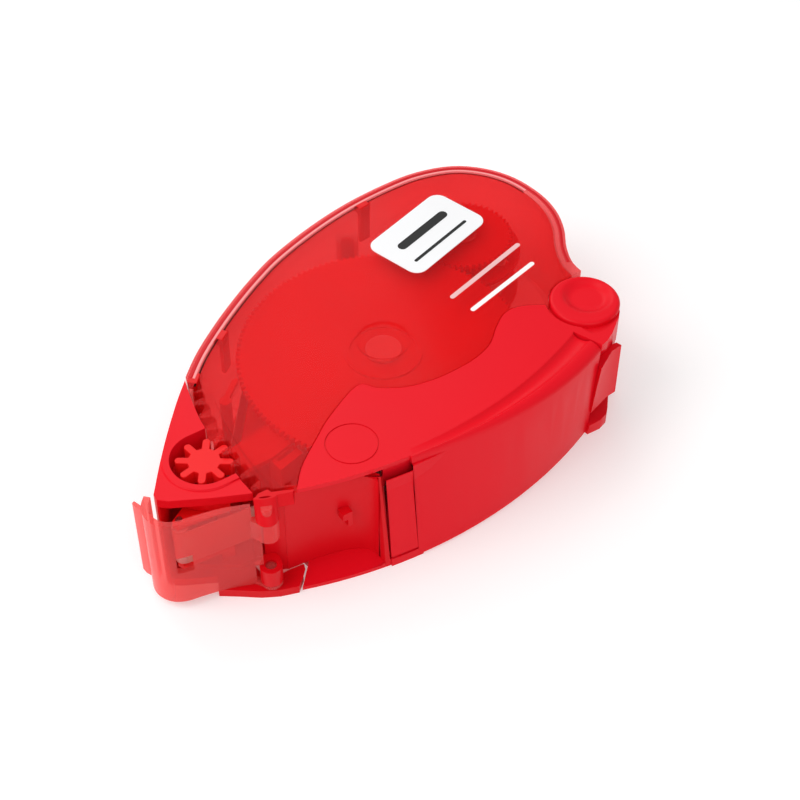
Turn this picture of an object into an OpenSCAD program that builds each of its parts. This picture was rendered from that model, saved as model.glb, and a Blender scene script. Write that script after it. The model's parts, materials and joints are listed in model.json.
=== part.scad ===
// Refillable tape roller, lying on its flat side.
// X runs from the tip (-X) to the rear hinge (+X), Y from the thumb side (-Y) to the curved back (+Y).
// A clear shell holds a swing-out tray. The tray carries the cover, the nose, the cap and the tape.

/* [Body] */
// Thickness of the closed roller
body_h = 24; // [23.8:0.1:25]
// Thickness of the flat top plates
plate_t = 1.8; // [1.4:0.1:1.8]
// Thickness of the flat bottom plates
floor_t = 1.6; // [1.2:0.1:1.8]
// Thickness of the curved back wall
wall_t = 2; // [1.6:0.1:2.4]
// Gap between plates that slide past each other
seam = 0.2; // [0.1:0.05:0.3]
// Gap between the window and the rim of the back shell
rim_gap = 0.35; // [0.2:0.05:0.4]

/* [Gears] */
// Teeth that a full circle of the shell's coarse edge would have
edge_teeth = 146; // [146]
// Teeth on the coarse pinion in the nose
pinion_teeth = 8; // [8]
// Teeth on the supply spool
supply_teeth = 137; // [137]
// Teeth on the take-up spool
take_up_teeth = 49; // [49]
// Module of the two spool gears
spool_module = 0.4; // [0.4]

/* [Tape] */
// Width of the tape
tape_w = 8.4; // [6:0.2:8.4]
// Radius of the fresh roll
roll_r = 19.5; // [12:0.5:19.5]
// Radius of the liner already wound up
liner_r = 9; // [6:0.5:9]

/* [Cap] */
// Height of the cap's wall
cap_h = 20.9; // [19:0.1:20.9]
// Thickness of the cap's wall
cap_t = 1.2; // [1:0.1:1.3]

/* [Hidden] */

$fn = 96;
eps = 0.01;
fit = 0.05;            // radial running clearance of every pin in its bore

// Places of the axes, all of them vertical
hinge = [41.8, -15.4];
cap_axis = [-34.8, -26.1];
supply = [3.5, -3.7];
tip_axis = [-47.2, -16.8];
pinion_distance = 80.7;
pinion_angle = 177.16;
pinion = hinge + pinion_distance * [cos(pinion_angle), sin(pinion_angle)];
spool_distance = spool_module * (supply_teeth + take_up_teeth) / 2;
spool_angle = 31.7;
take_up = supply + spool_distance * [cos(spool_angle), sin(spool_angle)];

// Heights
top_z = body_h - plate_t;                      // underside of the top plates
tray_z = floor_t + 0.3;                        // underside of the swinging floor
tray_t = 1.2;
spool_z = 6.8;
flange_t = 0.8;
tape_z = spool_z + flange_t + 0.2;
gear_z = 19.6;
gear_t = 1.2;
edge_z = body_h - 3;                           // underside of the coarse teeth
pinion_z = 20.2;
pinion_h = 3.1;
nose_top = body_h - 0.3;
cap_z = 2.05;

// Coarse edge and pinion
edge_pitch_r = pinion_distance * edge_teeth / (edge_teeth + pinion_teeth);
edge_tip_r = edge_pitch_r + 0.95;
edge_root_r = edge_pitch_r - 1.35;
edge_phase = 0.47;                             // first tooth past the line of centres, in degrees
pinion_phase = 11;
nose_r = edge_tip_r + seam;                    // the nose's inner edge, round the rear hinge
corner_y = -23.4;                              // the coarse edge ends here
ear_pass_r = 74.8;
knob_r = 6.8;
pin_r = 1.5;

// The thumb side is one arc
side_centre = [-1.4, 56.4];
side_r = 91;
side_t = 1.8;
side_lean = 1;                                 // the side wall leans in by this much at its top
groove_r = side_r - 3.8;
lip_r = side_r - 3.5;                          // edge of the thin lip over the thumb recess
recess_end_x = -14;                            // where the thumb recess meets the side wall
tongue_end_x = -8.5;

// Points of the curved back, from the nose round to the hinge
back_points = [[-50, -13.9], [-46.2, -8.7], [-42.3, -3.7], [-38.2, 1.2], [-34.4, 5.4], [-28.2, 11.5],
    [-21.5, 16.6], [-14.8, 21], [-8.2, 24.8], [-1.5, 28], [8.5, 31.3], [18.5, 33.5], [28.5, 34.4],
    [36, 34.1], [43.3, 31.8], [48.6, 27.4], [52, 21.6], [53.4, 14.5], [52.9, 8.5], [50.9, 3.2],
    [47.9, -1.6], [46.2, -6], [46.3, -10.5]];
// Points of the seam between the window and the cover, from the thumb recess to the hinge
seam_points = [[-29.6, -27.6], [-25.7, -22.7], [-19.8, -18.2], [-14.8, -14.8], [-6.9, -11.1],
    [-4.2, -13.6], [0.2, -16.2], [5.2, -17.4], [10.2, -17.6], [15.2, -17.1], [19.6, -15.5],
    [23.3, -12.4], [26.9, -10.2], [30.6, -10.4], [35.2, -13]];

// A smooth curve through a list of points
function through(a, b, c, d, t) =
    0.5 * (2 * b + (c - a) * t + (2 * a - 5 * b + 4 * c - d) * t * t + (3 * b - a - 3 * c + d) * t * t * t);
function curve(p, steps = 4) = concat(
    [for (i = [0 : len(p) - 2], k = [0 : steps - 1])
        through(p[max(i - 1, 0)], p[i], p[i + 1], p[min(i + 2, len(p) - 1)], k / steps)],
    [p[len(p) - 1]]);
function unit(v) = v / norm(v);
function heading(p, i) = unit(p[min(i + 1, len(p) - 1)] - p[max(i - 1, 0)]);
// The same curve moved to its right by a distance
function shifted(p, d) = [for (i = [0 : len(p) - 1]) p[i] + d * [heading(p, i)[1], -heading(p, i)[0]]];
function reversed(p) = [for (i = [len(p) - 1 : -1 : 0]) p[i]];
function arc(centre, r, from, to, steps = 12) =
    [for (k = [0 : steps]) centre + r * [cos(from + (to - from) * k / steps), sin(from + (to - from) * k / steps)]];
// The corners of one tooth, widths given at the root, the pitch circle and the tip
function tooth(angle, pitch_r, add, ded, root_w, pitch_w, tip_w) =
    [for (c = [[-root_w, pitch_r - ded], [-pitch_w, pitch_r], [-tip_w, pitch_r + add],
               [tip_w, pitch_r + add], [pitch_w, pitch_r], [root_w, pitch_r - ded]])
        c[1] * [cos(angle + c[0] / c[1] * 90 / PI), sin(angle + c[0] / c[1] * 90 / PI)]];

back_curve = curve(back_points);
seam_curve = curve(seam_points);

module at(p, z = 0) {
    translate([p[0], p[1], z]) children();
}

module disc(p, z, h, r) {
    at(p, z) cylinder(h = h, r = r);
}

module ring(p, z, h, r, bore) {
    at(p, z) difference() {
        cylinder(h = h, r = r);
        translate([0, 0, -1]) cylinder(h = h + 2, r = bore);
    }
}

module plate(z, h) {
    translate([0, 0, z]) linear_extrude(h) children();
}

// A flat strip standing on edge between two points
module strip(a, b, z, h, t) {
    at(a, z) rotate([0, 0, atan2(b[1] - a[1], b[0] - a[0])])
        translate([0, -t / 2, 0]) cube([norm(b - a), t, h]);
}

// ---- Outlines in plan ----

// The shell's edge between the thumb recess and the nose
front_edge = [[-32.4, -27.6], [-45, -27.6]];
window_edge = [[-45, -50], [-28.3, -50], [-28.3, -25.9], [-32.4, -24], [-35.2, -22.9], [-45, -22.9]];

// Everything that belongs to the clear shell, out to a radius round the rear hinge
module shell_plan(inset = 0, front_r = edge_root_r) {
    intersection() {
        polygon(concat(shifted(back_curve, inset), [[41, -13], [36.5, -13]],
            reversed(shifted(seam_curve, -seam)), front_edge));
        at(hinge) circle(r = front_r, $fn = 360);
        // The swinging cap ears pass the corner by the thumb recess
        union() {
            at(hinge) circle(r = ear_pass_r, $fn = 360);
            translate([-60, corner_y]) square([120, 80]);
        }
    }
}

// Rounded rear corner of the cover's top, from the knob to the end of the side wall
rear_corner = [[47.2, -19.3], [46.1, -20.9], [44.6, -22.4], [42.7, -23.7], [40.5, -24.7], [38.3, -25.2],
    [36.2, -25.4]];

// Front ends of the cover's top, and of its bottom beside the foot of the nose
top_cut = [[-60, -60], [-26, -60], [-31.3, -29.8], [-29.6, -27.6], [-60, -20]];
bottom_cut = [[-45, -44.6], [-26.9, -25.7], [-27.5, -22], [-45, -22]];

// The cover's plates, between the seam and the thumb side
module cover_plan(outer_r, front = [[-24, -46]], cut = top_cut) {
    difference() {
        intersection() {
            union() {
                polygon(concat(seam_curve, [hinge, [47.5, -19.2], [47.5, -46]], front));
                at(hinge) circle(r = knob_r);
            }
            union() {
                at(side_centre) circle(r = outer_r, $fn = 360);
                at(hinge) circle(r = knob_r);
                polygon(concat([[34, -20], hinge + [0.3, 0.2]], rear_corner));
            }
        }
        polygon(cut);
    }
}

// The nose, beyond the coarse edge
module nose_plan() {
    difference() {
        polygon(concat([for (p = back_curve) if (p[0] < -28) p],
            [[-20, 10], [-20, -22.8], [-35.6, -22.8], [-42.2, -19.8], [-48.6, -16.5], [-50.1, -15.1]]));
        at(hinge) circle(r = nose_r, $fn = 360);
    }
}

// ---- Clear shell ----

// The toothed strip along the window's front edge
module coarse_edge() {
    pitch = 360 / edge_teeth;
    first = pinion_angle + edge_phase;
    plate(edge_z, body_h - edge_z) intersection() {
        at(hinge) polygon(concat(
            [for (i = [-6 : 4]) each tooth(first + i * pitch, edge_pitch_r, 0.95, 1.35, 1.8, 1.45, 0.9)],
            arc([0, 0], edge_root_r - 1.8, first + 4 * pitch, first - 6 * pitch)));
        shell_plan(wall_t + rim_gap, edge_tip_r + 1);
        polygon([[-60, corner_y], [-33.8, corner_y], [-30, -24.9], [0, -24.9], [0, 3.6], [-60, 3.6]]);
    }
}

boss_post = [14.3, 26.4];
corner_hole = [-30.1, -24.6];

module window_plate() {
    color([0.93, 0.28, 0.29, 0.55]) {
        difference() {
            union() {
                plate(top_z, plate_t) difference() {
                    shell_plan(wall_t + rim_gap);
                    at(hinge) circle(r = knob_r + seam);
                    polygon(window_edge);
                }
                coarse_edge();
                disc(boss_post, 14, top_z - 14 + eps, 2.2);
            }
            disc(boss_post, 13, top_z - 13 - 1, 1.3 + fit);
            for (c = clip_places) clip(c, 0.1);
            plate(body_h - label_t, 1) label_plan(0.1);
            disc(supply, body_h - 0.4, 1, 5);
            at(corner_hole, top_z - 1) rotate([0, 0, -20]) cube([1.1, 0.8, 3]);
        }
    }
}

module back_shell() {
    color([0.92, 0.2, 0.22, 0.7]) {
        plate(0, floor_t) difference() {
            shell_plan(0, edge_tip_r);
            at(hinge) circle(r = knob_r + seam);
        }
        difference() {
            plate(floor_t, body_h - floor_t) difference() {
                shell_plan(0, edge_tip_r);
                shell_plan(wall_t, edge_tip_r + 1);
                at(hinge) circle(r = knob_r + seam);
                polygon([[-45, 3.5], [-30, 3.5], [20, -8], [48, -8.6], [44, -40], [-45, -40]]);
            }
            for (c = clip_places) clip(c, 0.02);
        }
        for (z = knuckle_z) difference() {
            union() {
                disc(hinge, z, knuckle_h, knuckle_r);
                plate(z, knuckle_h) polygon([[40.5, -10.6], [42.6, -4], [46, -6], [46.3, -10.4], [46.6, -12.6]]);
            }
            disc(hinge, z - 1, knuckle_h + 2, pin_r + fit);
        }
        plate(floor_t, top_z - floor_t) intersection() {
            shell_plan();
            difference() {
                at(hinge) circle(r = 9.6);
                at(hinge) circle(r = knob_r + seam);
            }
            polygon([[43.2, -11], [44.4, -5], [50, -5], [50, -11]]);
        }
        disc(boss_post, floor_t - eps, 19, 1.3);
    }
}

knuckle_h = 2.9;
knuckle_z = [2.8, 14.4];
knuckle_r = 6.8;

// Three snap hooks that hold the window down: place and direction along the rim
clip_places = [[[-30.9, 6.9], 46], [[-21.26, 14.18], 37], [[21.2, 31.7], 9]];

module clip(c, grow = 0) {
    at(c[0]) rotate([0, 0, c[1]]) {
        translate([-1.3 - grow, -1 - grow, top_z]) cube([2.6 + 2 * grow, 1.9 + 2 * grow, plate_t + grow]);
        translate([-1.3 - grow, -1 - grow, 15 - grow]) cube([2.6 + 2 * grow, 0.9 + 2 * grow, top_z - 14.9]);
    }
}

module window_clips() {
    color([0.86, 0.12, 0.14]) for (c = clip_places) clip(c);
}

label_t = 0.15;
label_centre = [27.3, 17];
label_size = [22, 13.5];

module label_plan(grow = 0) {
    corner = 2.4;
    spot = label_size / 2 - [corner, corner];
    at(label_centre) rotate([0, 0, 17]) polygon(concat(
        arc([spot[0], spot[1]], corner + grow, 0, 90, 6),
        arc([-spot[0], spot[1]], corner + grow, 90, 180, 6),
        arc([-spot[0], -spot[1]], corner + grow, 180, 270, 6),
        arc([spot[0], -spot[1]], corner + grow, 270, 360, 6)));
}

module name_label() {
    color("white") plate(body_h - label_t + 0.02, label_t - 0.02) label_plan();
}

// ---- Cover, the opaque thumb side of the tray ----

function side_angle(x) = -acos((x - side_centre[0]) / side_r);

// Outer and inner face of the leaning side wall at a height
function face_r(z) = side_r - side_lean * (z - 0.5) / (body_h - 2.1);
function back_face_r(z) = face_r(z) - side_t;

// The side wall's section: bead and groove at the top, from the inner face round to the outer face
function side_section() = concat(
    [[back_face_r(0), 0], [side_r - 0.5, 0], [side_r, 0.5]],
    arc([face_r(body_h - 1.6) - 1.6, body_h - 1.6], 1.6, 0, 80, 6),
    arc([groove_r, body_h + 0.8], 1.6, -32, -148, 8),
    [[side_r - 5.6, body_h], [side_r - 5.6, top_z], [back_face_r(top_z), top_z]]);

module side_sweep(from_x, to_x) {
    at(side_centre) rotate([0, 0, side_angle(from_x)])
        rotate_extrude(angle = side_angle(to_x) - side_angle(from_x), $fn = 360) children();
}

module cover_shell() {
    color([0.89, 0.14, 0.17]) difference() {
        union() {
            plate(top_z, plate_t) difference() {
                cover_plan(side_r - 5.3);
                at(hinge) circle(r = 3);
                polygon(concat(recess_path, [[-15.3, -40], [-40, -40], [-40, -25.2]]));
            }
            plate(ceiling_z, body_h - ceiling_z) intersection() {
                cover_plan(lip_r);
                polygon([[-40, -40], [tongue_end_x + 1, -40], [tongue_end_x + 1, -20], [-40, -20]]);
            }
            plate(0, tray_z) cover_plan(side_r - 0.4, [[-38, -46], [-38, -37.2]], bottom_cut);
            side_sweep(tongue_end_x, 36.4) polygon(side_section());
            side_sweep(recess_end_x, tongue_end_x + 1) translate([back_face_r(0), 0])
                square([side_t - 0.1, tongue_z[0] - 0.5]);
            // Inner wall behind the slot over the tongue
            side_sweep(recess_end_x + 0.1, tongue_end_x + 0.9) translate([side_r - 4.8, 18]) square([0.6, 5.1]);
            fin();
            disc(hinge, 17.4, body_h - 17.4 - 1.2, knob_r);
            plate(17.4, top_z - 17.4 + eps) knob_bridge();
            disc(hinge, 0, ear_top, knob_r);
            // The rear end of the bottom is a rounded lug
            plate(0, ear_top - 0.1) polygon([[40.5, -16.1], [35.1, -20.3], [35.9, -27.2], [38.8, -27.3],
                [40.8, -26.6], [42, -25.4], [46.3, -20.3], [44.2, -16.1]]);
        }
        disc(hinge, 0.8, body_h, pin_r + fit);
        // Rounded end of the slot over the tongue
        at(side_centre, (tongue_z[1] + ceiling_z) / 2) rotate([0, 0, side_angle(tongue_end_x)])
            translate([groove_r - 0.2, 0, 0]) rotate([0, 90, 0]) cylinder(h = 6, r = 1);
        for (p = screw_places) disc(p, -1, 4, 0.8);
        for (p = screw_places) disc(p, -eps, 0.85, 1.6);
        difference() {
            disc(mark_centre, body_h - 0.2, 1, 4.85);
            disc(mark_centre, body_h - 0.3, 2, 4.6);
        }
        disc(hinge, body_h - 1.2, 2, knob_r + 1);
        disc(hinge, ear_top, 17.4 - ear_top, knob_r + seam);
    }
}

ear_top = 2.7;
ceiling_z = 23.05;                             // the cover is thinner over the thumb recess
mark_centre = [-15.3, -22.6];

module knob_bridge() {
    intersection() {
        cover_plan(side_r - 3);
        at(hinge) circle(r = knob_r + 3.4);
        polygon([hinge, [30, -26], [46, -27], [47, -19]]);
    }
}

// The side wall's rear end steps back and turns out into a small fin
module fin() {
    plate(5.9, 12.8) polygon([[36, -26.7], [36.2, -25.2], [40.8, -23.9], [43.3, -24], [43.7, -25.1], [41.2, -25.4]]);
}

tongue_z = [2.3, 20.9];

module latch_tongue() {
    color([0.89, 0.14, 0.17]) side_sweep(recess_end_x, tongue_end_x - 0.02) polygon([
        [back_face_r(tongue_z[0]), tongue_z[0]], [face_r(tongue_z[0]), tongue_z[0]],
        [face_r(tongue_z[1]), tongue_z[1]], [back_face_r(tongue_z[1]), tongue_z[1]]]);
}

// Dished disc on the cover's rear ear
module hinge_knob() {
    color([0.87, 0.12, 0.15]) at(hinge, body_h - 1.2) rotate_extrude() difference() {
        polygon([[0, 0], [knob_r, 0], [knob_r, 0.6], [knob_r - 0.5, 1.1], [knob_r - 1, 1.2], [0, 1.2]]);
        translate([0, 13.4]) circle(r = 12.8, $fn = 180);
    }
}

module hinge_pin() {
    color("silver") disc(hinge, 0.8, body_h - 1.2 - 0.8, pin_r);
}

// ---- Nose ----

// The pocket is round, and open towards the coarse edge
module pocket_plan(r) {
    at(pinion) {
        circle(r = r);
        translate([0, -r]) square([8, 2 * r]);
    }
}

module nose_plate() {
    color([0.89, 0.14, 0.17]) difference() {
        union() {
            plate(top_z - 0.4, nose_top - top_z + 0.4) nose_plan();
            plate(pocket_z - 1.2, body_h - pocket_z + 1.2) intersection() {
                nose_plan();
                pocket_plan(7.3);
            }
        }
        plate(pocket_z, 10) pocket_plan(6.1);
        disc(pinion, 10, 20, drum_r + fit);
    }
}

drum_r = 2.6;
pocket_z = 19.6;

module nose_base() {
    color([0.87, 0.12, 0.15]) {
        plate(0, tray_z) {
            nose_plan();
            // Foot under the cap's hinge
            polygon([[-43.8, -22.4], [-40.4, -24.8], [-37.6, -26.9], [-34.6, -28.5], [-31.3, -29.6], [-29.3, -27.8],
                [-32.3, -27.8], [-32.9, -23.7], [-35.5, -23.7], [-36.1, -22], [-42, -19]]);
        }
        // Thin web over the shell's floor, under the recess
        plate(tray_z - 0.18, 0.18) polygon([[-32.6, -28.4], [-32.6, -25.4], [-30.6, -25.4], [-27.9, -25.7],
            [-28.3, -26.8], [-29.6, -28.2]]);
        plate(tray_z, top_z - 0.4 - tray_z) difference() {
            nose_plan();
            translate([1.25, -1.25]) nose_plan();
            polygon([[-50.5, -15.8], [-44, -11.5], [-20, -11.5], [-20, -40], [-60, -40]]);
            pocket_plan(7.4);
        }
    }
}

// ---- Frame of the thumb recess, with the cap's hinge ears ----

recess_path = curve([[-30.9, -25.2], [-25, -25.9], [-20.4, -27], [-17.4, -28.3], [-15.8, -30], [-15.3, -31.8],
    [-15.2, -33.4]], 4);
// The wall's hidden side, 1.5 mm behind its face, and thin where the tongue moves past it
recess_back = concat([for (p = shifted(recess_path, -1.5)) if (p[1] > -30) p],
    [[-14.3, -30.5], [-14.3, -33.4]]);
catch_at = [-20.2, -27.3];
ear_h = 3.9;
ear_z = [3, 19.9];
ear_r = 2.05;

module recess_frame() {
    color([0.86, 0.1, 0.13]) {
        plate(tray_z, top_z - 0.1 - tray_z) polygon(concat(recess_path, reversed(recess_back)));
        plate(tray_z, edge_z - 0.2 - tray_z) polygon([[-34.4, -23.4], [-30.7, -25.2], [-30.7, -23.75],
            [-33.8, -22.3]]);
        difference() {
            union() for (z = ear_z) {
                disc(cap_axis, z, ear_h, ear_r);
                plate(z, ear_h) polygon([[-35.9, -24.4], [-32.75, -26.2], [-32.55, -25.1], [-33, -23.5],
                    [-34.9, -23.5]]);
            }
            disc(cap_axis, 0.6, 30, 1 + fit);
        }
        // Top band between the window and the recess
        plate(edge_z + 0.6, nose_top + 0.1 - edge_z - 0.6) polygon([[-33.4, -24.1], [-29.1, -26], [-30, -27.3],
            [-30.9, -26.9], [-32.9, -26.3]]);
        at(catch_at, 10.5) {
            translate([-0.95, -1.5, 2]) cube([1.9, 1.8, 1.7]);
            translate([0.05, -1.5, 0]) cube([0.9, 1.8, 2.1]);
        }
    }
}

// ---- Floor of the tray and what stands on it ----

screw_places = [[-8, -26.4], [18, -23.4], [29.5, -20.6]];

module tray_floor() {
    color([0.8, 0.08, 0.1]) plate(tray_z, tray_t) difference() {
        polygon(concat(arc(take_up, 10.5, 150, -60), [[31.8, -5], [31.8, -22], [4, -28], [-13, -28],
            [-15, -26.8], [-20, -25.2], [-24, -24.2], [-28.6, -23.4], [-34.5, -20.5], [-38, -20.6],
            [-45.5, -15.5], [-44, -9], [-36.5, -1], [-29, 6.5], [-12, 18], [5, 20], [10, 19]]));
        for (p = [supply, take_up, pinion]) at(p) circle(r = stub_r + fit);
        for (p = screw_places) at(p) circle(r = 0.8);
    }
}

module floor_screws() {
    color("silver") for (p = screw_places) {
        disc(p, 0.1, 0.7, 1.45);
        disc(p, 0.1, 3.4, 0.78);
    }
}

axle_z = tray_z + tray_t;

stub_r = 1.35;
supply_axle_r = 2.5;
take_up_axle_r = 2;
pinion_axle_r = 1.2;

// A post with a shoulder under the wheel, and a stub in the floor
module axle(p, h, r, shoulder_h) {
    color([0.85, 0.12, 0.14]) {
        disc(p, axle_z, h, r);
        disc(p, axle_z, shoulder_h, r + 1.7);
        disc(p, tray_z + 0.1, tray_t, min(stub_r, r));
    }
}

module supply_axle() {
    axle(supply, 18, supply_axle_r, spool_z - axle_z - 0.2);
}

module take_up_axle() {
    axle(take_up, 18, take_up_axle_r, spool_z - axle_z - 0.2);
}

module pinion_axle() {
    axle(pinion, 6, pinion_axle_r, 0.4);
}

module spool_clips() {
    color("white") {
        disc(supply, axle_z + 18, 0.8, 3.4);
        disc(take_up, axle_z + 18, 0.8, 2.9);
    }
}

tooth_tip_r = spool_module * supply_teeth / 2 + 0.3;

// A springy finger that rests on the tips of the supply gear's teeth
module ratchet_pawl() {
    post = [-27.6, 1.4];
    color([0.85, 0.12, 0.14]) {
        disc(post, axle_z, gear_z + gear_t - axle_z, 1.1);
        plate(gear_z + 0.1, gear_t - 0.2) polygon([post + [-0.9, 0.2], post + [0.9, 0.2],
            supply + (tooth_tip_r + 0.15) * [cos(162), sin(162)],
            supply + (tooth_tip_r + 0.2) * [cos(161), sin(161)],
            supply + (tooth_tip_r + 1.2) * [cos(161.5), sin(161.5)]]);
    }
}

// Posts that lead the liner round the supply spool
guide_places = [[-10, 19.4], [17.3, 21.1], [-30.8, -9.6]];
guide_r = 1.1;

module guide_pins() {
    color("silver") for (p = guide_places) {
        disc(p, axle_z, 15.2, guide_r);
        disc(p, 16.9, 0.8, guide_r + 0.7);
    }
}

module guide_block() {
    color([0.84, 0.1, 0.13]) {
        difference() {
            plate(axle_z, 15.6) polygon([[-26.8, -17], [-21.4, -15.6], [-21.9, -12], [-27.2, -13.4]]);
            plate(axle_z - 1, 12) translate([-28, -17.4]) square([8, 3.2]);
            at([-26, -15.1], 16) rotate([0, 0, 15]) cube([4.2, 0.7, 6]);
        }
        plate(18.5, 0.9) polygon([[-32.9, -8.4], [-15.7, -5], [-14.3, -9.7], [-21.8, -12.9], [-26.9, -14.2],
            [-32.4, -14.2]]);
    }
}

// The tip: two cheeks that carry the roller, and a web behind the tape
module tip_holder() {
    color([0.9, 0.2, 0.18]) difference() {
        union() {
            for (z = [tape_z - 2.1, tape_z + tape_w + 0.3]) plate(z, 1.8)
                polygon([tip_axis + [-1.2, 0.2], tip_axis + [-0.7, -0.8], tip_axis + [0.6, -1],
                    [-38, -18.6], [-37.6, -15.2], [-45, -14.6]]);
            plate(axle_z, tape_z + tape_w + 2.1 - axle_z)
                polygon([[-40.2, -17.6], [-37.8, -18.2], [-37.6, -15.4], [-40, -15]]);
        }
        disc(tip_axis, 1, 30, 0.6 + fit);
        plate(tape_z - 0.3, tape_w + 0.6) polygon([[-41, -19], [-36, -19.2], [-36, -17.6], [-41, -17.3]]);
    }
}

module tip_roller_pin() {
    color("silver") disc(tip_axis, tape_z - 2.1, tape_w + 4.2, 0.6);
}

tip_r = 1.5;

module tip_roller() {
    color([0.95, 0.95, 0.93]) ring(tip_axis, tape_z - 0.1, tape_w + 0.2, tip_r, 0.6 + fit);
}

// ---- Tape and liner ----

tape_t = 0.12;

// Where a line touches two circles on the same side, as seen from a to b: +1 left, -1 right
function touch(a, ra, b, rb, side) =
    let (d = norm(b - a), dir = atan2(b[1] - a[1], b[0] - a[0]), tilt = asin((rb - ra) / d),
         n = dir + side * 90 + side * tilt)
    [a + ra * [cos(n), sin(n)], b + rb * [cos(n), sin(n)]];
// Where a line crosses from one side of a circle to the other side of the next
function crossing(a, ra, b, rb, side) =
    let (d = norm(b - a), dir = atan2(b[1] - a[1], b[0] - a[0]), tilt = asin((ra + rb) / d),
         n = dir + side * 90 - side * tilt)
    [a + ra * [cos(n), sin(n)], b - rb * [cos(n), sin(n)]];

module tape_run() {
    gap = 0.1;
    ends = touch(tip_axis, tip_r + gap, supply, roll_r + gap, -1);
    color("white") strip(ends[0], ends[1], tape_z, tape_w, tape_t);
}

module liner_run() {
    gap = 0.1;
    stops = [[tip_axis, tip_r + gap], [pinion, drum_r + gap], [guide_places[0], guide_r + gap],
        [guide_places[1], guide_r + gap], [take_up, liner_r + gap]];
    color([0.95, 0.9, 0.8]) {
        for (k = [0, 1, 3]) {
            ends = crossing(stops[k][0], stops[k][1], stops[k + 1][0], stops[k + 1][1], k == 1 ? -1 : 1);
            strip(ends[0], ends[1], tape_z, tape_w, tape_t);
        }
        ends = touch(stops[2][0], stops[2][1], stops[3][0], stops[3][1], 1);
        strip(ends[0], ends[1], tape_z, tape_w, tape_t);
    }
}

module supply_gear() {
    color([0.9, 0.13, 0.15]) difference() {
        union() {
            plate(gear_z, gear_t) at(supply) polygon([for (i = [0 : supply_teeth - 1])
                each tooth(spool_angle + i * 360 / supply_teeth,
                    spool_module * supply_teeth / 2, 0.3, 0.45, 0.74, 0.5, 0.26)]);
            ring(supply, gear_z + gear_t - eps, 0.5, 7.4, 6.4);
        }
        disc(supply, 0, 30, supply_axle_r + fit);
    }
}

module clutch_washer() {
    color("silver") ring(supply, 18.5, gear_z - 18.6, 6.5, 3);
}

module supply_core() {
    color([0.95, 0.9, 0.88]) difference() {
        union() {
            disc(supply, spool_z, 18.4 - spool_z, 8);
            disc(supply, spool_z, flange_t, 22.5);
            disc(supply, tape_z + tape_w + 0.2, flange_t, 22.5);
        }
        disc(supply, 0, 30, supply_axle_r + fit);
    }
}

module tape_roll() {
    color("ivory") ring(supply, tape_z, tape_w, roll_r, 8);
}

module take_up_spool() {
    color([0.9, 0.13, 0.15]) difference() {
        union() {
            plate(gear_z, gear_t) at(take_up) polygon([for (i = [0 : take_up_teeth - 1])
                each tooth(spool_angle + 180 + (i + 0.5) * 360 / take_up_teeth,
                    spool_module * take_up_teeth / 2, 0.3, 0.45, 0.74, 0.5, 0.26)]);
            disc(take_up, spool_z, gear_z - spool_z + eps, 5);
            disc(take_up, spool_z, flange_t, 11.8);
            disc(take_up, tape_z + tape_w + 0.2, flange_t, 11.8);
        }
        disc(take_up, 0, 30, take_up_axle_r + fit);
        for (a = [0 : 60 : 300]) at(take_up + 8.4 * [cos(a), sin(a)], tape_z + tape_w) cylinder(h = 2, r = 1.8);
    }
}

module liner_roll() {
    color([0.95, 0.9, 0.8]) ring(take_up, tape_z, tape_w, liner_r, 5);
}

// ---- Pinion in the nose: eight round-ended teeth over a drum that the liner runs round ----

module tension_pinion() {
    finger_w = 1.4;
    tip = 5.2;
    color([0.9, 0.14, 0.16]) at(pinion) difference() {
        union() {
            plate(pinion_z, pinion_h) {
                circle(r = 2.9);
                for (i = [0 : pinion_teeth - 1]) rotate(pinion_phase + i * 360 / pinion_teeth) {
                    translate([0, -finger_w / 2]) square([tip - finger_w / 2, finger_w]);
                    translate([tip - finger_w / 2, 0]) circle(r = finger_w / 2, $fn = 32);
                }
            }
            translate([0, 0, axle_z + 0.5]) cylinder(h = pinion_z - axle_z, r = drum_r);
        }
        cylinder(h = axle_z + 6.2, r = pinion_axle_r + fit);
    }
}

// ---- Cap ----

// Outer face, from the hinge round the tip to the far side
cap_points = [[-37.3, -25.1], [-41.8, -23.4], [-46.5, -22.3], [-49.3, -21.8], [-51.3, -20.9],
    [-52.7, -19.4], [-53.4, -17.5], [-53.3, -15.6], [-52.5, -13.9], [-51.3, -12.6]];
cap_curve = curve(cap_points, 4);
hole_at = [-49.1, -21.6];
lug_z = 15.2;

module cap_wall(z, h) {
    plate(z, h) polygon(concat(cap_curve, reversed(shifted(cap_curve, cap_t))));
}

// The wall's end beside the hinge, with a round lug
module cap_lug(z, h) {
    plate(z, h) polygon([[-37.6, -25], cap_axis + [-1.6, -0.9], cap_axis + [0, -1.2], cap_axis + [0.6, 1.1],
        cap_axis + [-1.2, 1.4], [-37.5, -23.9]]);
    disc(cap_axis, z, h, ear_r - 0.05);
}

module tip_cap() {
    color([0.95, 0.45, 0.45, 0.5]) difference() {
        union() {
            cap_wall(cap_z, cap_h);
            // The wall reaches further towards the hinge between the ears
            plate(ear_z[0] + ear_h + 0.4, lug_z - ear_z[0] - ear_h) polygon([[-37.5, -25.05], [-36, -25.7],
                [-35.5, -24.8], [-37.4, -23.9]]);
            cap_lug(lug_z, ear_z[1] - 0.15 - lug_z);
            cap_lug(cap_z, ear_z[0] - 0.12 - cap_z);
            disc(cap_axis, cap_z, 4.4, 1);
            disc(cap_axis, lug_z, 7.6, 1);
            // Thumb tab
            plate(cap_z + 2, cap_h - 2.6) polygon([[-52.9, -14.7], [-52.5, -13.7], [-53, -12.2], [-53.5, -12.4],
                [-53.4, -13.6]]);
        }
        // Window that snaps over the catch when the cap is parked
        at(hole_at, 10.2) rotate([0, 0, -17]) translate([-1.5, -2, 0]) cube([3, 4, 4.1]);
    }
}

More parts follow.
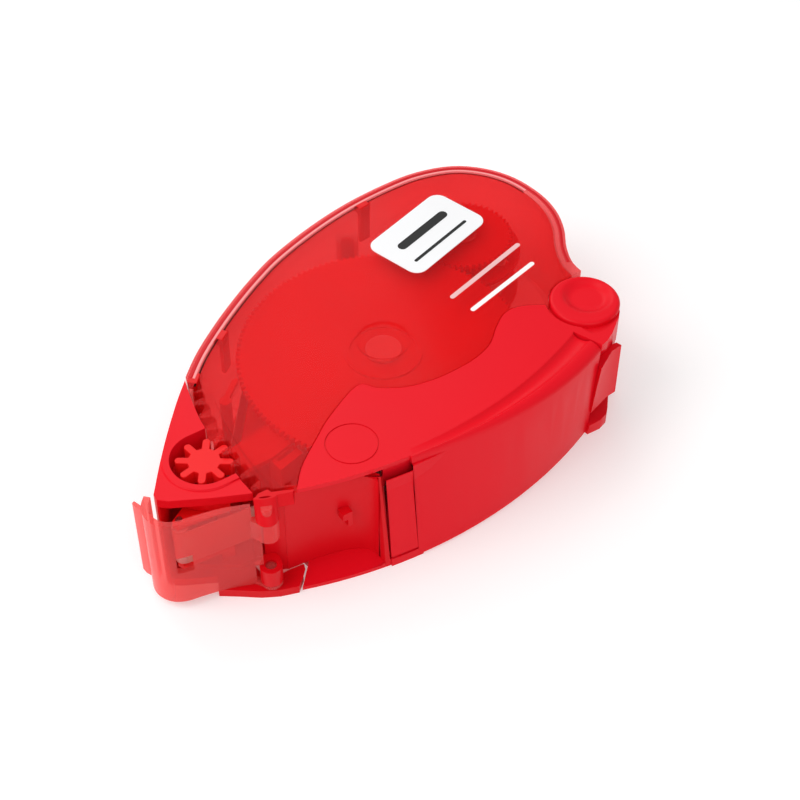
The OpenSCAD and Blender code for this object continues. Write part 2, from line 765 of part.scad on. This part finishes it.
window_plate();
back_shell();
window_clips();
name_label();
cover_shell();
hinge_knob();
hinge_pin();
nose_plate();
nose_base();
recess_frame();
tray_floor();
floor_screws();
supply_axle();
take_up_axle();
pinion_axle();
spool_clips();
ratchet_pawl();
guide_pins();
guide_block();
tip_holder();
tip_roller_pin();
tape_run();
liner_run();
latch_tongue();
tip_cap();
supply_gear();
clutch_washer();
supply_core();
tape_roll();
take_up_spool();
liner_roll();
tension_pinion();
tip_roller();
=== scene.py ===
import json
import math

import bmesh
import bpy
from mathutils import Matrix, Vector


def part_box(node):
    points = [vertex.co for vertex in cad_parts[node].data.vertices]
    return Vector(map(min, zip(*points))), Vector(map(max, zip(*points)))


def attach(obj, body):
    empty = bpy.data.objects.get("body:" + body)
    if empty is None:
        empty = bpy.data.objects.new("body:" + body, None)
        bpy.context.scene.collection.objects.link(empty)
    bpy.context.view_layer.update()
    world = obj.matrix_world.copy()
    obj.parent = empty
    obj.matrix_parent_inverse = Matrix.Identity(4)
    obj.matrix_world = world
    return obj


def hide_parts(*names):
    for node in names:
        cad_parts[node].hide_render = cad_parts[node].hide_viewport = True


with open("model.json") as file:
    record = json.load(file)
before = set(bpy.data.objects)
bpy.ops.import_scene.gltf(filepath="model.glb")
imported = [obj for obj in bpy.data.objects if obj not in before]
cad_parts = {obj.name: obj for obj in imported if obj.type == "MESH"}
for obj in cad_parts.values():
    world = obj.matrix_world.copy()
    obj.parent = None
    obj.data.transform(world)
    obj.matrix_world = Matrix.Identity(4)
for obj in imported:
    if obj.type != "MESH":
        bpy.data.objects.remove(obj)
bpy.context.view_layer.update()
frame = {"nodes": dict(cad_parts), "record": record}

# Lengths in this script are millimetres; MM turns them into Blender's metres.
MM = 0.001


def point(x, y, z=0.0):
    return Vector((x, y, z)) * MM


# ---- Node materials ----


class Shader:
    """Adds nodes to one material and links them."""

    def __init__(self, name):
        self.material = bpy.data.materials.new(name)
        self.material.use_nodes = True
        self.tree = self.material.node_tree
        self.tree.nodes.clear()
        self.output = self.tree.nodes.new("ShaderNodeOutputMaterial")
        coords = self.tree.nodes.new("ShaderNodeTexCoord")
        self.place = coords.outputs["Object"]

    def add(self, kind, settings=None, **inputs):
        """A new node. Inputs go by name, with _ for a space, or by number as i0, i1 and so on."""
        made = self.tree.nodes.new(kind)
        for key, value in (settings or {}).items():
            setattr(made, key, value)
        for key, value in inputs.items():
            numbered = key[0] == "i" and key[1:].isdigit()
            socket = made.inputs[int(key[1:])] if numbered else made.inputs[key.replace("_", " ")]
            self.feed(socket, value)
        return made

    def feed(self, socket, value):
        if isinstance(value, bpy.types.NodeSocket):
            self.tree.links.new(value, socket)
        else:
            socket.default_value = value

    def noise(self, size_mm, detail=2.0, roughness=0.5):
        made = self.add("ShaderNodeTexNoise", Vector=self.place, Scale=1 / (size_mm * MM), Detail=detail,
                        Roughness=roughness)
        return made.outputs["Fac"]

    def ramp(self, value, low, high, out_low=0.0, out_high=1.0):
        made = self.add("ShaderNodeMapRange", Value=value, From_Min=low, From_Max=high, To_Min=out_low,
                        To_Max=out_high)
        return made.outputs["Result"]

    def mix_colour(self, factor, a, b):
        made = self.add("ShaderNodeMix", {"data_type": "RGBA"})
        self.feed(made.inputs["Factor"], factor)
        self.feed(made.inputs[6], a)
        self.feed(made.inputs[7], b)
        return made.outputs[2]

    def bump(self, height, depth_mm, strength=1.0):
        made = self.add("ShaderNodeBump", Height=height, Distance=depth_mm * MM, Strength=strength)
        return made.outputs["Normal"]


def shade(colour, factor):
    return tuple(min(1.0, c * factor) for c in colour[:3]) + (1.0,)


def moulded(name, colour, roughness=0.25, gloss=0.2, grain_mm=0.4, grain_depth=0.0015):
    """Opaque injection-moulded plastic: faint clouding, a very fine grain and slightly uneven gloss."""
    s = Shader(name)
    cloud = s.ramp(s.noise(25, 2), 0.3, 0.7)
    body = s.mix_colour(cloud, shade(colour, 0.98), shade(colour, 1.02))
    sheen = s.ramp(s.noise(12, 2), 0.3, 0.7, roughness * 0.92, roughness * 1.08)
    skin = s.add("ShaderNodeBsdfPrincipled", Base_Color=body, Roughness=sheen, IOR=1.5,
                 Normal=s.bump(s.noise(grain_mm, 2), grain_depth))
    skin.inputs["Specular IOR Level"].default_value = gloss
    s.tree.links.new(skin.outputs[0], s.output.inputs["Surface"])
    return s.material


def clear(name, colour, tint, opacity, edge_opacity, roughness=0.12):
    """Clear tinted plastic: what is behind it shows through, least of all at a grazing angle."""
    s = Shader(name)
    cloud = s.ramp(s.noise(14, 2), 0.35, 0.65)
    body = s.mix_colour(cloud, shade(colour, 0.96), shade(colour, 1.04))
    sheen = s.ramp(s.noise(9, 2), 0.3, 0.7, roughness * 0.85, roughness * 1.2)
    wave = s.bump(s.noise(8, 1), 0.012)
    skin = s.add("ShaderNodeBsdfPrincipled", Base_Color=body, Roughness=sheen, IOR=1.5, Normal=wave)
    skin.inputs["Specular IOR Level"].default_value = 0.25
    through = s.add("ShaderNodeBsdfTransparent", Color=tint)
    facing = s.add("ShaderNodeLayerWeight", Blend=0.35)
    amount = s.ramp(facing.outputs["Facing"], 0.25, 1.0, opacity, edge_opacity)
    both = s.add("ShaderNodeMixShader", Fac=amount, i1=through.outputs[0], i2=skin.outputs[0])
    s.tree.links.new(both.outputs[0], s.output.inputs["Surface"])
    return s.material


def metal(name, colour=(0.62, 0.62, 0.64), roughness=0.28):
    """Drawn steel with fine lengthways scratches."""
    s = Shader(name)
    stretch = s.add("ShaderNodeMapping", Vector=s.place)
    stretch.inputs["Scale"].default_value = (1.0, 1.0, 0.05)
    scratch = s.add("ShaderNodeTexNoise", Vector=stretch.outputs[0], Scale=1 / (0.15 * MM), Detail=3.0)
    body = s.mix_colour(s.noise(2, 2), shade(colour, 0.85), shade(colour, 1.1))
    gloss = s.ramp(scratch.outputs["Fac"], 0.3, 0.7, roughness * 0.7, roughness * 1.4)
    skin = s.add("ShaderNodeBsdfPrincipled", Base_Color=body, Metallic=1.0, Roughness=gloss,
                 Normal=s.bump(scratch.outputs["Fac"], 0.002))
    s.tree.links.new(skin.outputs[0], s.output.inputs["Surface"])
    return s.material


def paper(name, colour, roughness=0.6):
    """Thin wound strip: fine layers across its edge and a soft sheen."""
    s = Shader(name)
    fibre = s.noise(0.25, 4, 0.7)
    body = s.mix_colour(fibre, shade(colour, 0.9), shade(colour, 1.05))
    skin = s.add("ShaderNodeBsdfPrincipled", Base_Color=body, Normal=s.bump(fibre, 0.004),
                 Roughness=s.ramp(fibre, 0.3, 0.7, roughness * 0.8, roughness))
    s.tree.links.new(skin.outputs[0], s.output.inputs["Surface"])
    return s.material


COVER_RED = (0.78, 0.005, 0.015)
DEEP_RED = (0.7, 0.003, 0.009)

looks = {
    "cover_red": moulded("cover_red", COVER_RED, 0.34, 0.12),
    "deep_red": moulded("deep_red", DEEP_RED, 0.36, 0.14),
    "spool_red": moulded("spool_red", (0.82, 0.008, 0.01), 0.36),
    "core_white": moulded("core_white", (0.85, 0.5, 0.46), 0.4),
    "clear_red": clear("clear_red", (0.9, 0.018, 0.022), (1.0, 0.55, 0.56, 1), 0.26, 0.8),
    "shell_red": clear("shell_red", (0.9, 0.02, 0.03), (1.0, 0.5, 0.5, 1), 0.28, 0.8),
    "cap_clear": clear("cap_clear", (0.95, 0.12, 0.12), (1.0, 0.5, 0.48, 1), 0.33, 0.8),
    "steel": metal("steel"),
    "tape": paper("tape", (0.82, 0.78, 0.68)),
    "liner": paper("liner", (0.86, 0.74, 0.6)),
    "label": moulded("label", (0.9, 0.9, 0.91), 0.3),
    "roller": moulded("roller", (0.78, 0.74, 0.7), 0.5),
}
# Finishes that no CAD slot has, and the colours of the rim's painted lines of shade, shadow and highlight
clip_red = moulded("clip_red", (0.72, 0.002, 0.004), 0.3)
# A near-black painted shadow, for the strip in the gap beside the window
painted_gap_shadow = moulded("painted_gap_shadow", (0.012, 0.002, 0.002), 0.6, 0.05)
# A deep red painted shade, for a line where the clear rim refracts
painted_rim_shade = moulded("painted_rim_shade", (0.6, 0.003, 0.01), 0.3)
# A pale pink painted highlight, for a line where the clear rim refracts
painted_rim_highlight = moulded("painted_rim_highlight", (0.92, 0.3, 0.3), 0.25)
ink_dark = moulded("ink_dark", (0.02, 0.02, 0.02), 0.4)
ink_pale = moulded("ink_pale", (0.85, 0.5, 0.5), 0.4)
ink_white = moulded("ink_white", (0.95, 0.9, 0.9), 0.4)
slots = {part["node"]: part["material_slot"] for part in frame["record"]["subparts"]}
node_body = {node: body for body, nodes in frame["record"]["behaviour"]["bodies"].items() for node in nodes}

# ---- Building helpers ----


def finish_mesh(mesh, smooth_deg=35):
    mesh.shade_smooth()
    mesh.set_sharp_from_angle(angle=math.radians(smooth_deg))


def place(name, mesh, body, slot):
    """Puts a new mesh in the scene on a CAD body, with a slot's material."""
    made = bpy.data.objects.new(name, mesh)
    bpy.context.scene.collection.objects.link(made)
    mesh.materials.clear()
    mesh.materials.append(looks[slot])
    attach(made, body)
    return made


def softened(node, edge_rule, shape=None, angle_deg=28, look=None):
    """A copy of a CAD node, reshaped a little and with rounded edges. It stands for the node.

    edge_rule is a bevel width in mm, or a function of an edge's middle (in mm) that gives one.
    shape is a function from a point to a point, both in mm.
    """
    source = frame["nodes"][node].data
    mesh = bpy.data.meshes.new("soft_" + node)
    mesh.from_pydata([v.co for v in source.vertices], [], [p.vertices for p in source.polygons])
    bm = bmesh.new()
    bm.from_mesh(mesh)
    bmesh.ops.remove_doubles(bm, verts=bm.verts, dist=0.002 * MM)
    bmesh.ops.dissolve_degenerate(bm, edges=bm.edges, dist=0.002 * MM)
    bmesh.ops.dissolve_limit(bm, verts=bm.verts, edges=bm.edges, angle_limit=math.radians(0.4))
    weight = bm.edges.layers.float.new("bevel_weight_edge")
    widths = {}
    for edge in bm.edges:
        if len(edge.link_faces) == 2 and edge.calc_face_angle(0.0) > math.radians(angle_deg):
            middle = (edge.verts[0].co + edge.verts[1].co) / (2 * MM)
            widths[edge] = edge_rule(middle) if callable(edge_rule) else edge_rule
    widest = max(widths.values())
    for edge, width in widths.items():
        edge[weight] = width / widest
    if shape:
        for vert in bm.verts:
            vert.co = Vector(shape(vert.co / MM)) * MM
    bm.to_mesh(mesh)
    bm.free()
    finish_mesh(mesh, angle_deg)
    made = place("soft_" + node, mesh, node_body[node], slots[node])
    if look:
        mesh.materials[0] = look
    bevel = made.modifiers.new("edges", "BEVEL")
    bevel.limit_method = "WEIGHT"
    bevel.width = widest * MM
    bevel.segments = 3
    bevel.use_clamp_overlap = True
    bevel.harden_normals = True
    bevel.miter_outer = "MITER_ARC"
    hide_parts(node)
    return made


def mesh_of(name, verts_mm, faces, smooth_deg=35):
    mesh = bpy.data.meshes.new(name)
    mesh.from_pydata([Vector(v) * MM for v in verts_mm], [], faces)
    bm = bmesh.new()
    bm.from_mesh(mesh)
    bmesh.ops.recalc_face_normals(bm, faces=bm.faces)
    bm.to_mesh(mesh)
    bm.free()
    finish_mesh(mesh, smooth_deg)
    return mesh


def swept(name, path, profile, smooth_deg=60):
    """A closed section carried along an open path. Path points are in mm, with the section's
    axes across the path: the first is level, the second points up."""
    verts = []
    for k, spot in enumerate(path):
        ahead = Vector(path[min(k + 1, len(path) - 1)]) - Vector(path[max(k - 1, 0)])
        across = Vector((ahead.y, -ahead.x, 0)).normalized()
        verts += [Vector(spot) + across * a + Vector((0, 0, b)) for a, b in profile]
    n = len(profile)
    faces = [(k * n + i, k * n + (i + 1) % n, (k + 1) * n + (i + 1) % n, (k + 1) * n + i)
             for k in range(len(path) - 1) for i in range(n)]
    faces += [tuple(range(n))[::-1], tuple(range((len(path) - 1) * n, len(path) * n))]
    return mesh_of(name, verts, faces, smooth_deg)


def rounded(width, height, steps=4):
    """A strip's section: flat underneath, with an elliptical top."""
    top = [(width / 2 * math.cos(math.pi * k / (2 * steps)), height * math.sin(math.pi * k / (2 * steps)))
           for k in range(2 * steps + 1)]
    return [(width / 2, -0.05)] + top + [(-width / 2, -0.05)]


# ---- The cover's side wall: the top leans in most at the thumb recess, and the groove fades out there ----

SIDE_CENTRE = Vector((-1.4, 56.4))
SIDE_R = 91.0
SIDE_END_X = 36.6    # the side wall's rear end
CAD_TOP_R = 90.0     # the CAD's leaning wall at its top
LEAN_H = 21.9        # height over which the wall leans
GROOVE_R = 87.2
RECESS_X = -14.2     # the recess's end wall
TOP_Z = 22.35        # just above the underside of the top plates
BODY_H = 24.0
PINION = Vector((-38.80, -11.40))
HINGE = Vector((41.8, -15.4))
KNOB_R = 6.8


def blend(value, low, high):
    t = min(1.0, max(0.0, (value - low) / (high - low)))
    return t * t * (3 - 2 * t)


def side_top_r(x):
    """Radius of the side wall's top edge."""
    return 87.8 + 4.0 * blend(x, -10, 36)


def side_shape(p):
    """Where a point of the tray's mouldings goes when the side wall is twisted."""
    if p.x > SIDE_END_X and p.z > 19 and p.y < -21 and (Vector((p.x, p.y)) - HINGE).length > KNOB_R + 0.1:
        # The rounded rear corner runs on from the wall's leaning top
        return Vector((p.x, p.y - 1.8 * (1 - blend(p.x, 36.4, 44.6)), p.z))
    out = Vector((p.x, p.y)) - SIDE_CENTRE
    r = out.length
    if r < 85.3 or p.y > -18 or p.z < 0.4 or p.x > SIDE_END_X:
        return p
    top_r = side_top_r(p.x)
    z = p.z
    if p.x < -15 and z < 2.5:
        # The bottom plate slopes down to its edge under the recess
        return Vector((p.x, p.y, z - 1.1 * blend(r, 86.0, 91.5)))
    lean = (z - 0.5) / LEAN_H
    outer_now = SIDE_R - lean
    outer_new = SIDE_R - (SIDE_R - top_r) * min(1.0, lean)
    if z > TOP_Z:
        # The bead outside the groove is squeezed or widened
        squeeze = (top_r - GROOVE_R) / (CAD_TOP_R - GROOVE_R)
        new_r = GROOVE_R + (r - GROOVE_R) * squeeze if r > GROOVE_R else r
        if r < 88.6 and z > 23.1 and p.x > -8.6:
            # The groove starts shallow beside the thumb recess
            z = BODY_H - (BODY_H - z) * blend(p.x, -9, 8)
    elif r > outer_now - 0.9 and not (p.x < RECESS_X and p.y > -30.2):
        new_r = r + outer_new - outer_now
        if p.x < RECESS_X:
            # The recess wall ends flush with the tongue
            new_r = min(r, outer_new - 0.1)
    else:
        new_r = r
    out *= new_r / r
    return Vector((SIDE_CENTRE.x + out.x, SIDE_CENTRE.y + out.y, z))


def cover_edges(m):
    """Bevel widths of the cover: softest on the lip over the thumb recess."""
    r = (Vector((m.x, m.y)) - SIDE_CENTRE).length
    if m.z > 22.9 and m.x < -9 and m.y < -24 and r > 86.8:
        return 0.5
    if m.z > 23.9 and r < 85.2:
        return 0.12
    return 0.25


def nose_edges(m):
    """Bevel widths of the nose: small at the pocket and the toothed edge, broad at the front."""
    spot = Vector((m.x, m.y))
    if (spot - PINION).length < 7.4 or (spot - HINGE).length < 78.3:
        return 0.2
    return 1.0 if m.z > 23.6 and m.y < -10 else 0.3


softened("cover_shell", cover_edges, side_shape)
softened("latch_tongue", 0.12, side_shape)
softened("recess_frame", 0.25, side_shape)
softened("nose_plate", nose_edges)
softened("window_clips", 0.2, look=clip_red)
for node, width in {
    "window_plate": 0.25, "back_shell": 0.35, "nose_base": 0.3, "tip_cap": 0.25, "guide_block": 0.2,
    "tip_holder": 0.2, "tension_pinion": 0.2, "ratchet_pawl": 0.15,
}.items():
    softened(node, width)

# ---- Pieces that refine the CAD shapes ----


def hinge_knob():
    """The knob's top: a round edge and a thumb dish set off its middle."""
    low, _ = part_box("hinge_knob")
    rings, spokes = 26, 96
    verts = []
    for i in range(1, rings + 1):
        rho = KNOB_R * math.sin(math.pi / 2 * i / rings)
        for k in range(spokes):
            turn = 2 * math.pi * k / spokes
            spot = HINGE + rho * Vector((math.cos(turn), math.sin(turn)))
            edge = 0.7 * (1 - math.sqrt(1 - max(0.0, (rho - KNOB_R + 0.7) / 0.7) ** 2))
            away = (spot - HINGE - Vector((1.1, 0.7))).length
            dish = 1.0 * blend(5.2 - away, 0.0, 2.2) * (1 - blend(rho, 5.8, 6.7))
            verts.append((spot.x, spot.y, BODY_H - edge - dish))
    verts += [(x, y, low.z / MM) for x, y, _ in verts[-spokes:]]
    faces = [(i * spokes + k, i * spokes + (k + 1) % spokes, (i + 1) * spokes + (k + 1) % spokes,
              (i + 1) * spokes + k) for i in range(rings) for k in range(spokes)]
    faces.append(tuple(range(spokes))[::-1])
    faces.append(tuple(range(rings * spokes, (rings + 1) * spokes)))
    made = place("knob_top", mesh_of("knob_top", verts, faces, 50), "tray", slots["hinge_knob"])
    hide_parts("hinge_knob")


def pocket_ring():
    """The raised round rim of the pinion pocket."""
    path = [(PINION.x + 6.9 * math.cos(math.radians(a)), PINION.y + 6.9 * math.sin(math.radians(a)), 23.7)
            for a in range(146, 293, 4)]
    place("pocket_ring", swept("pocket_ring", path, rounded(1.3, 0.3)), "tray", "cover_red")


# The shell's curved back, as in the CAD
BACK_POINTS = [(-38.2, 1.2), (-34.4, 5.4), (-28.2, 11.5), (-21.5, 16.6), (-14.8, 21), (-8.2, 24.8), (-1.5, 28),
               (8.5, 31.3), (18.5, 33.5), (28.5, 34.4), (36, 34.1), (43.3, 31.8), (48.6, 27.4), (52, 21.6),
               (53.4, 14.5), (52.9, 8.5), (50.9, 3.2), (47.9, -1.6), (46.2, -6)]


PAINTED_LINES_END_Y = 16.7     # the gap's strip of painted shadow and the rim's painted highlight line end here at the rear
NOSE_REACH = 76.8    # the rim's painted lines of shade, shadow and highlight stop at the nose, this far from the rear hinge


def back_curve(inset, steps=5):
    """The curved back's outline, moved inwards: the same smooth curve as the CAD's."""
    pts = [Vector(p) for p in BACK_POINTS]
    line = []
    for i in range(len(pts) - 1):
        a, b, c, d = pts[max(i - 1, 0)], pts[i], pts[i + 1], pts[min(i + 2, len(pts) - 1)]
        for k in range(steps):
            t = k / steps
            line.append(0.5 * (2 * b + (c - a) * t + (2 * a - 5 * b + 4 * c - d) * t * t
                               + (3 * b - a - 3 * c + d) * t * t * t))
    moved = []
    for i, spot in enumerate(line):
        ahead = (line[min(i + 1, len(line) - 1)] - line[max(i - 1, 0)]).normalized()
        moved.append(spot + inset * Vector((ahead.y, -ahead.x)))
    return [p for p in moved if (p - HINGE).length < NOSE_REACH]


def rim_line(name, inset, width, height, z, look, end_y=-99.0):
    """One of the painted lines along the shell's rim: a strip in a colour of painted shade, painted shadow or
    painted highlight. At the rear it ends at end_y.
    """
    path = [(p.x, p.y, z) for p in back_curve(inset) if p.x < 0 or p.y > end_y]
    made = place(name, swept(name, path, rounded(width, height)), "shell", "shell_red")
    made.data.materials[0] = look


def flat_bar(name, body, centre, turn_deg, length, width, z, look):
    """A slim printed bar with round ends."""
    axis = Vector((math.cos(math.radians(turn_deg)), math.sin(math.radians(turn_deg))))
    outline = []
    for side in (1, -1):
        for k in range(9):
            turn = math.radians(turn_deg + 90 - side * 90 + (k - 4) * 22.5)
            outline.append(Vector(centre) + side * axis * (length - width) / 2
                           + width / 2 * Vector((math.cos(turn), math.sin(turn))))
    n = len(outline)
    verts = [(p.x, p.y, z + dz) for dz in (0.0, 0.04) for p in outline]
    faces = [tuple(range(n)), tuple(range(n, 2 * n))]
    faces += [(k, (k + 1) % n, n + (k + 1) % n, n + k) for k in range(n)]
    made = place(name, mesh_of(name, verts, faces), body, "label")
    made.data.materials[0] = look


hinge_knob()
pocket_ring()
# The rim's lines are painted light where the clear wall refracts. First a deep red line of painted shade
rim_line("rim_painted_shade_line", 0.85, 0.7, 0.06, BODY_H, painted_rim_shade)
# A pale line of painted highlight
rim_line("rim_painted_highlight_line", 1.55, 0.5, 0.06, BODY_H, painted_rim_highlight, PAINTED_LINES_END_Y)
# A near-black strip of painted shadow in the gap beside the window
rim_line("rim_painted_gap_shadow_strip", 2.17, 0.34, 0.1, BODY_H - 0.25, painted_gap_shadow, PAINTED_LINES_END_Y)
flat_bar("print_bar_pale", "shell", (30.6, 1.6), 15.6, 21.0, 1.0, BODY_H, ink_pale)
flat_bar("print_bar_white", "shell", (30.8, -3.9), 14.4, 18.6, 1.0, BODY_H, ink_white)
flat_bar("label_bar_wide", "shell", (27.0, 18.2), 17, 14.5, 2.0, BODY_H, ink_dark)
flat_bar("label_bar_thin", "shell", (28.2, 13.6), 17, 16.0, 0.7, BODY_H, ink_dark)

for node, obj in frame["nodes"].items():
    obj.data.materials.clear()
    obj.data.materials.append(looks[slots[node]])

# ---- Studio: floor, light and camera ----


def studio():
    floor_mesh = bpy.data.meshes.new("floor")
    half = 4.0
    floor_mesh.from_pydata([(-half, -half, 0), (half, -half, 0), (half, half, 0), (-half, half, 0)], [],
                           [(0, 1, 2, 3)])
    floor = bpy.data.objects.new("floor", floor_mesh)
    bpy.context.scene.collection.objects.link(floor)
    s = Shader("floor_pale")
    tone = s.mix_colour(s.noise(80, 2), (0.74, 0.74, 0.74, 1), (0.76, 0.76, 0.76, 1))
    skin = s.add("ShaderNodeBsdfPrincipled", Base_Color=tone, Roughness=0.8)
    skin.inputs["Specular IOR Level"].default_value = 0.1
    skin.inputs["Emission Color"].default_value = (1, 0.985, 0.985, 1)
    skin.inputs["Emission Strength"].default_value = 0.3
    s.tree.links.new(skin.outputs[0], s.output.inputs["Surface"])
    floor_mesh.materials.append(s.material)

    world = bpy.data.worlds.new("studio")
    world.use_nodes = True
    world.node_tree.nodes["Background"].inputs["Color"].default_value = (1, 1, 1, 1)
    world.node_tree.nodes["Background"].inputs["Strength"].default_value = 0.5
    bpy.context.scene.world = world

    for name, place_mm, size_mm, power in (
        ("key", (-330, 60, 420), 340, 1.3),
        ("front", (-60, -420, 420), 420, 0.75),
        ("back", (60, 420, 420), 420, 0.9),
    ):
        light = bpy.data.lights.new(name, "AREA")
        light.size = size_mm * MM
        light.energy = power
        lamp = bpy.data.objects.new(name, light)
        lamp.location = point(*place_mm)
        lamp.rotation_euler = (-lamp.location).to_track_quat("-Z", "Y").to_euler()
        bpy.context.scene.collection.objects.link(lamp)


def camera():
    data = bpy.data.cameras.new("camera")
    data.lens = 75.9
    data.sensor_width = 36
    data.shift_x = 0.0125
    data.clip_start = 0.01
    made = bpy.data.objects.new("camera", data)
    made.location = point(-118.0, -193.0, 244.6)
    target = point(8.5, 1.7)
    made.rotation_euler = (target - made.location).to_track_quat("-Z", "Y").to_euler()
    bpy.context.scene.collection.objects.link(made)
    bpy.context.scene.camera = made


studio()
camera()
bpy.context.scene.view_settings.view_transform = "Standard"
